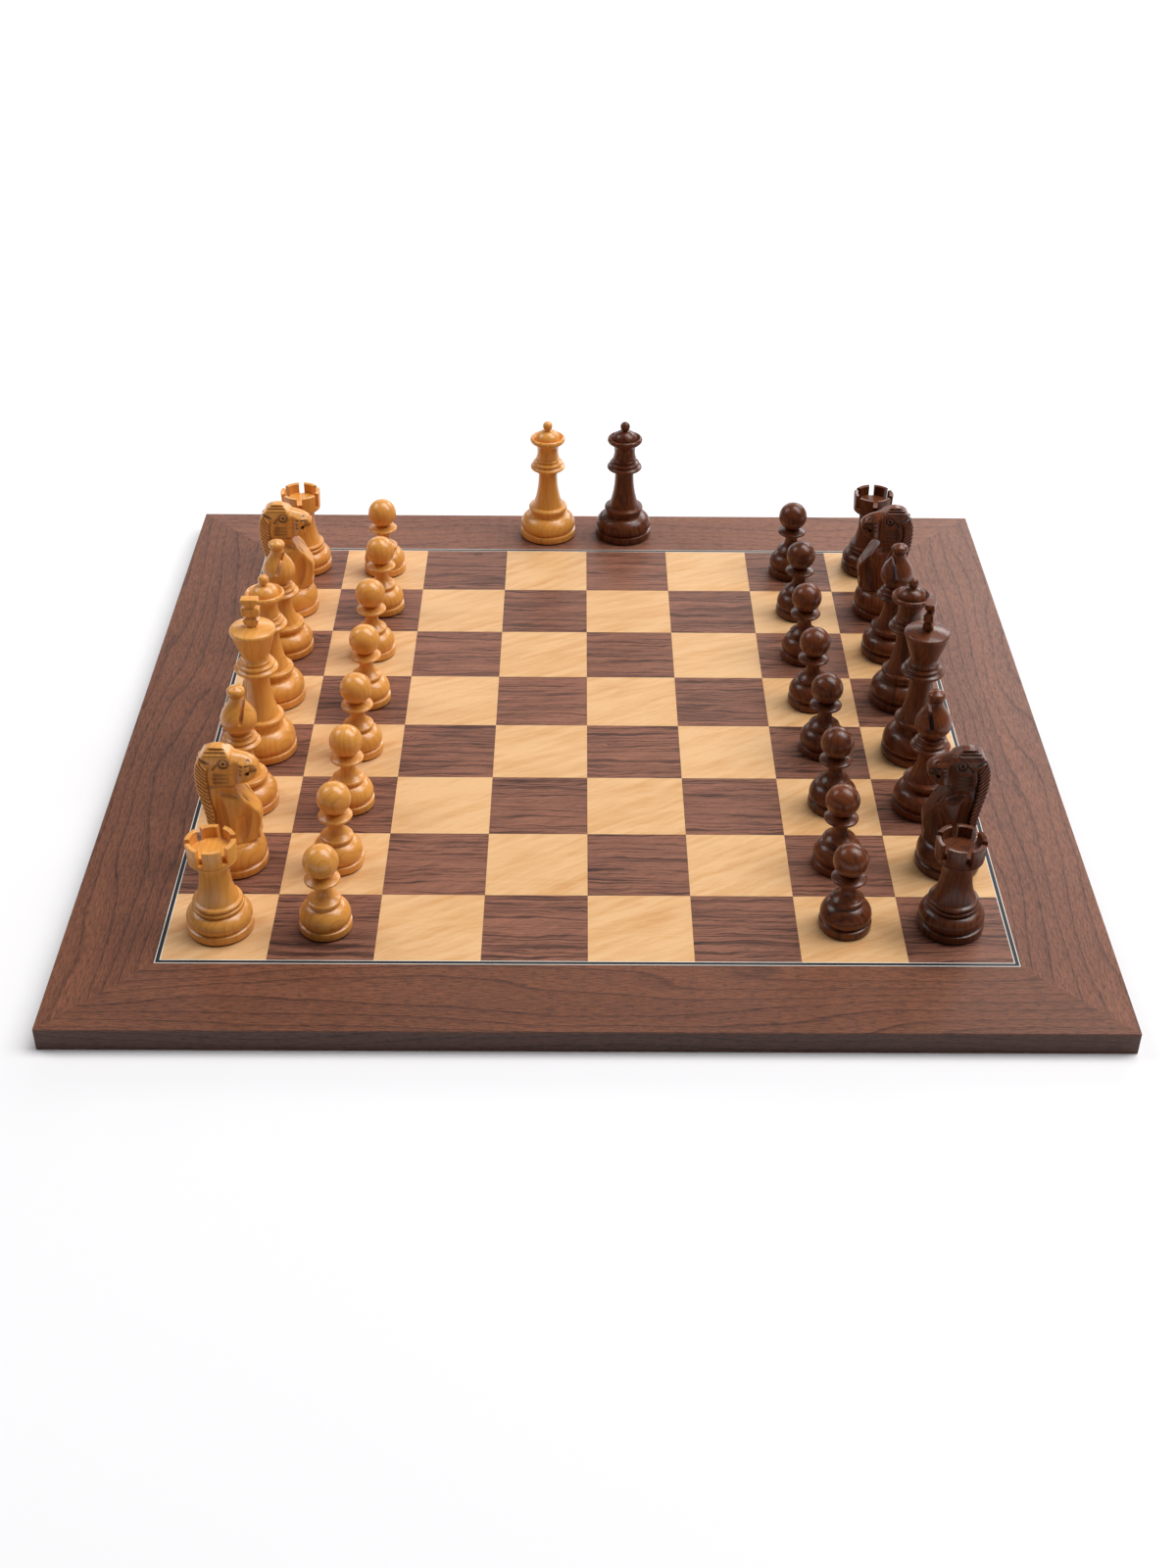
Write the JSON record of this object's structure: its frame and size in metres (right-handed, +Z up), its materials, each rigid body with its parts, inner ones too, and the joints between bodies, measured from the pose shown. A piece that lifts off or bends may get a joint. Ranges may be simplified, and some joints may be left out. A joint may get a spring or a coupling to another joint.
{
  "type": "chess set with board",
  "caption": "Staunton-style wooden chess set in two wood tones standing on a mitred, veneered board with inlaid stringing.",
  "frame": {"origin": "middle of the board's underside", "axes": "+Z up, +X from the light side to the dark side, +Y along the ranks from file h to file a"},
  "size_m": [0.545, 0.545, 0.1154],
  "materials": {
    "fibreboard": "unfinished fibreboard",
    "walnut": "satin walnut veneer",
    "walnut_squares": "satin walnut veneer with dark streaks",
    "maple": "satin maple veneer",
    "black_line": "satin dyed veneer line",
    "white_line": "satin white veneer line",
    "boxwood": "satin lacquered boxwood",
    "rosewood": "satin lacquered rosewood"
  },
  "bodies": {
    "board": {"board_core": "fibreboard", "backing_veneer": "walnut", "light_squares": "maple", "dark_squares": "walnut_squares", "border_front": "walnut", "border_back": "walnut", "border_left": "walnut", "border_right": "walnut", "edge_front": "walnut", "edge_back": "walnut", "edge_left": "walnut", "edge_right": "walnut", "black_stringing": "black_line", "white_stringing_inner": "white_line", "white_stringing_outer": "white_line"},
    "light_rook_a_body": {"light_rook_a": "boxwood"},
    "light_knight_b_body": {"light_knight_b": "boxwood", "light_knight_head_b": "boxwood"},
    "light_bishop_c_body": {"light_bishop_c": "boxwood"},
    "light_queen_body": {"light_queen": "boxwood"},
    "light_king_body": {"light_king": "boxwood", "light_king_finial": "boxwood"},
    "light_bishop_f_body": {"light_bishop_f": "boxwood"},
    "light_knight_g_body": {"light_knight_g": "boxwood", "light_knight_head_g": "boxwood"},
    "light_rook_h_body": {"light_rook_h": "boxwood"},
    "light_pawn_a_body": {"light_pawn_a": "boxwood"},
    "light_pawn_b_body": {"light_pawn_b": "boxwood"},
    "light_pawn_c_body": {"light_pawn_c": "boxwood"},
    "light_pawn_d_body": {"light_pawn_d": "boxwood"},
    "light_pawn_e_body": {"light_pawn_e": "boxwood"},
    "light_pawn_f_body": {"light_pawn_f": "boxwood"},
    "light_pawn_g_body": {"light_pawn_g": "boxwood"},
    "light_pawn_h_body": {"light_pawn_h": "boxwood"},
    "light_queen_spare_body": {"light_queen_spare": "boxwood"},
    "dark_rook_a_body": {"dark_rook_a": "rosewood"},
    "dark_knight_b_body": {"dark_knight_b": "rosewood", "dark_knight_head_b": "rosewood"},
    "dark_bishop_c_body": {"dark_bishop_c": "rosewood"},
    "dark_queen_body": {"dark_queen": "rosewood"},
    "dark_king_body": {"dark_king": "rosewood", "dark_king_finial": "rosewood"},
    "dark_bishop_f_body": {"dark_bishop_f": "rosewood"},
    "dark_knight_g_body": {"dark_knight_g": "rosewood", "dark_knight_head_g": "rosewood"},
    "dark_rook_h_body": {"dark_rook_h": "rosewood"},
    "dark_pawn_a_body": {"dark_pawn_a": "rosewood"},
    "dark_pawn_b_body": {"dark_pawn_b": "rosewood"},
    "dark_pawn_c_body": {"dark_pawn_c": "rosewood"},
    "dark_pawn_d_body": {"dark_pawn_d": "rosewood"},
    "dark_pawn_e_body": {"dark_pawn_e": "rosewood"},
    "dark_pawn_f_body": {"dark_pawn_f": "rosewood"},
    "dark_pawn_g_body": {"dark_pawn_g": "rosewood"},
    "dark_pawn_h_body": {"dark_pawn_h": "rosewood"},
    "dark_queen_spare_body": {"dark_queen_spare": "rosewood"}
  },
  "joints": [
    {"name": "light_rook_a_lift", "type": "slide", "parent": "board", "child": "light_rook_a_body", "axis": [0, 0, 1], "range_m": [0, 0.12]},
    {"name": "light_knight_b_lift", "type": "slide", "parent": "board", "child": "light_knight_b_body", "axis": [0, 0, 1], "range_m": [0, 0.12]},
    {"name": "light_bishop_c_lift", "type": "slide", "parent": "board", "child": "light_bishop_c_body", "axis": [0, 0, 1], "range_m": [0, 0.12]},
    {"name": "light_queen_lift", "type": "slide", "parent": "board", "child": "light_queen_body", "axis": [0, 0, 1], "range_m": [0, 0.12]},
    {"name": "light_king_lift", "type": "slide", "parent": "board", "child": "light_king_body", "axis": [0, 0, 1], "range_m": [0, 0.12]},
    {"name": "light_bishop_f_lift", "type": "slide", "parent": "board", "child": "light_bishop_f_body", "axis": [0, 0, 1], "range_m": [0, 0.12]},
    {"name": "light_knight_g_lift", "type": "slide", "parent": "board", "child": "light_knight_g_body", "axis": [0, 0, 1], "range_m": [0, 0.12]},
    {"name": "light_rook_h_lift", "type": "slide", "parent": "board", "child": "light_rook_h_body", "axis": [0, 0, 1], "range_m": [0, 0.12]},
    {"name": "light_pawn_a_lift", "type": "slide", "parent": "board", "child": "light_pawn_a_body", "axis": [0, 0, 1], "range_m": [0, 0.12]},
    {"name": "light_pawn_b_lift", "type": "slide", "parent": "board", "child": "light_pawn_b_body", "axis": [0, 0, 1], "range_m": [0, 0.12]},
    {"name": "light_pawn_c_lift", "type": "slide", "parent": "board", "child": "light_pawn_c_body", "axis": [0, 0, 1], "range_m": [0, 0.12]},
    {"name": "light_pawn_d_lift", "type": "slide", "parent": "board", "child": "light_pawn_d_body", "axis": [0, 0, 1], "range_m": [0, 0.12]},
    {"name": "light_pawn_e_lift", "type": "slide", "parent": "board", "child": "light_pawn_e_body", "axis": [0, 0, 1], "range_m": [0, 0.12]},
    {"name": "light_pawn_f_lift", "type": "slide", "parent": "board", "child": "light_pawn_f_body", "axis": [0, 0, 1], "range_m": [0, 0.12]},
    {"name": "light_pawn_g_lift", "type": "slide", "parent": "board", "child": "light_pawn_g_body", "axis": [0, 0, 1], "range_m": [0, 0.12]},
    {"name": "light_pawn_h_lift", "type": "slide", "parent": "board", "child": "light_pawn_h_body", "axis": [0, 0, 1], "range_m": [0, 0.12]},
    {"name": "light_queen_spare_lift", "type": "slide", "parent": "board", "child": "light_queen_spare_body", "axis": [0, 0, 1], "range_m": [0, 0.12]},
    {"name": "dark_rook_a_lift", "type": "slide", "parent": "board", "child": "dark_rook_a_body", "axis": [0, 0, 1], "range_m": [0, 0.12]},
    {"name": "dark_knight_b_lift", "type": "slide", "parent": "board", "child": "dark_knight_b_body", "axis": [0, 0, 1], "range_m": [0, 0.12]},
    {"name": "dark_bishop_c_lift", "type": "slide", "parent": "board", "child": "dark_bishop_c_body", "axis": [0, 0, 1], "range_m": [0, 0.12]},
    {"name": "dark_queen_lift", "type": "slide", "parent": "board", "child": "dark_queen_body", "axis": [0, 0, 1], "range_m": [0, 0.12]},
    {"name": "dark_king_lift", "type": "slide", "parent": "board", "child": "dark_king_body", "axis": [0, 0, 1], "range_m": [0, 0.12]},
    {"name": "dark_bishop_f_lift", "type": "slide", "parent": "board", "child": "dark_bishop_f_body", "axis": [0, 0, 1], "range_m": [0, 0.12]},
    {"name": "dark_knight_g_lift", "type": "slide", "parent": "board", "child": "dark_knight_g_body", "axis": [0, 0, 1], "range_m": [0, 0.12]},
    {"name": "dark_rook_h_lift", "type": "slide", "parent": "board", "child": "dark_rook_h_body", "axis": [0, 0, 1], "range_m": [0, 0.12]},
    {"name": "dark_pawn_a_lift", "type": "slide", "parent": "board", "child": "dark_pawn_a_body", "axis": [0, 0, 1], "range_m": [0, 0.12]},
    {"name": "dark_pawn_b_lift", "type": "slide", "parent": "board", "child": "dark_pawn_b_body", "axis": [0, 0, 1], "range_m": [0, 0.12]},
    {"name": "dark_pawn_c_lift", "type": "slide", "parent": "board", "child": "dark_pawn_c_body", "axis": [0, 0, 1], "range_m": [0, 0.12]},
    {"name": "dark_pawn_d_lift", "type": "slide", "parent": "board", "child": "dark_pawn_d_body", "axis": [0, 0, 1], "range_m": [0, 0.12]},
    {"name": "dark_pawn_e_lift", "type": "slide", "parent": "board", "child": "dark_pawn_e_body", "axis": [0, 0, 1], "range_m": [0, 0.12]},
    {"name": "dark_pawn_f_lift", "type": "slide", "parent": "board", "child": "dark_pawn_f_body", "axis": [0, 0, 1], "range_m": [0, 0.12]},
    {"name": "dark_pawn_g_lift", "type": "slide", "parent": "board", "child": "dark_pawn_g_body", "axis": [0, 0, 1], "range_m": [0, 0.12]},
    {"name": "dark_pawn_h_lift", "type": "slide", "parent": "board", "child": "dark_pawn_h_body", "axis": [0, 0, 1], "range_m": [0, 0.12]},
    {"name": "dark_queen_spare_lift", "type": "slide", "parent": "board", "child": "dark_queen_spare_body", "axis": [0, 0, 1], "range_m": [0, 0.12]}
  ]
}
